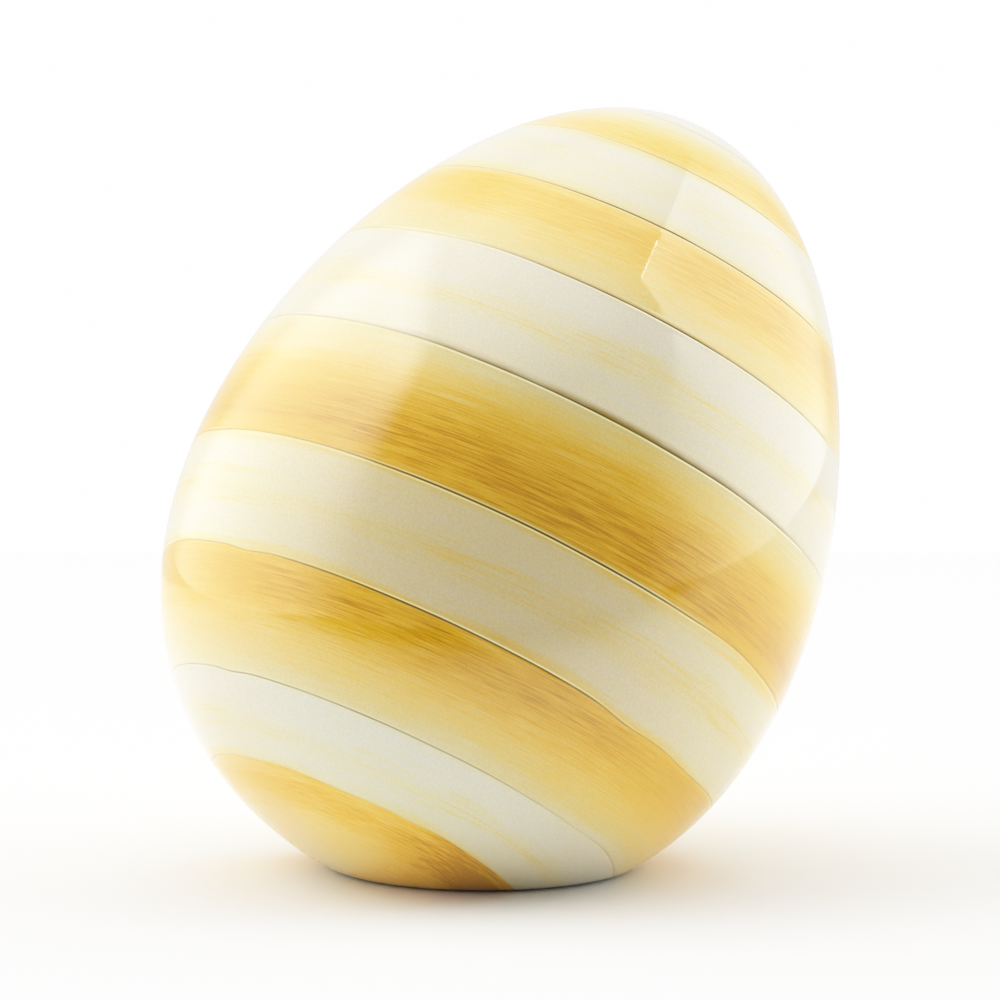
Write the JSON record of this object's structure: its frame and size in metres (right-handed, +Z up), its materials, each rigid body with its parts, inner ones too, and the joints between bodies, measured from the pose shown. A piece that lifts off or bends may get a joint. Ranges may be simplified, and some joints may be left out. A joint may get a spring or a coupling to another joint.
{
  "type": "decorative egg",
  "caption": "Glossy hand-painted tabletop egg that leans on a small flat base, ringed by alternating cream and yellow painted bands with thin scribed grooves between them.",
  "frame": {"origin": "centre of the felt pad's flat underside, where the egg rests; the pad is centred in the egg's flat base", "axes": "+Z is up, out of the surface that the egg stands on, and is the longest extent; -Y faces the viewer on display; the pointed tip leans 31.7 degrees from +Z, towards +X and away from the viewer"},
  "size_m": [0.1356, 0.1326, 0.1508],
  "materials": {
    "cream_paint": "gloss",
    "yellow_paint": "gloss",
    "umber_washed_resin": "satin",
    "soft_plastic": "satin",
    "felt": "matte"
  },
  "bodies": {
    "root": {"cast_shell": "umber_washed_resin", "stopper_plug": "soft_plastic", "felt_pad": "felt", "cream_tip_cap": "cream_paint", "yellow_band_1": "yellow_paint", "cream_band_1": "cream_paint", "yellow_band_2": "yellow_paint", "cream_band_2": "cream_paint", "yellow_band_3": "yellow_paint", "cream_band_3": "cream_paint", "yellow_band_4": "yellow_paint", "cream_band_4": "cream_paint", "yellow_base_cap": "yellow_paint"}
  },
  "joints": []
}
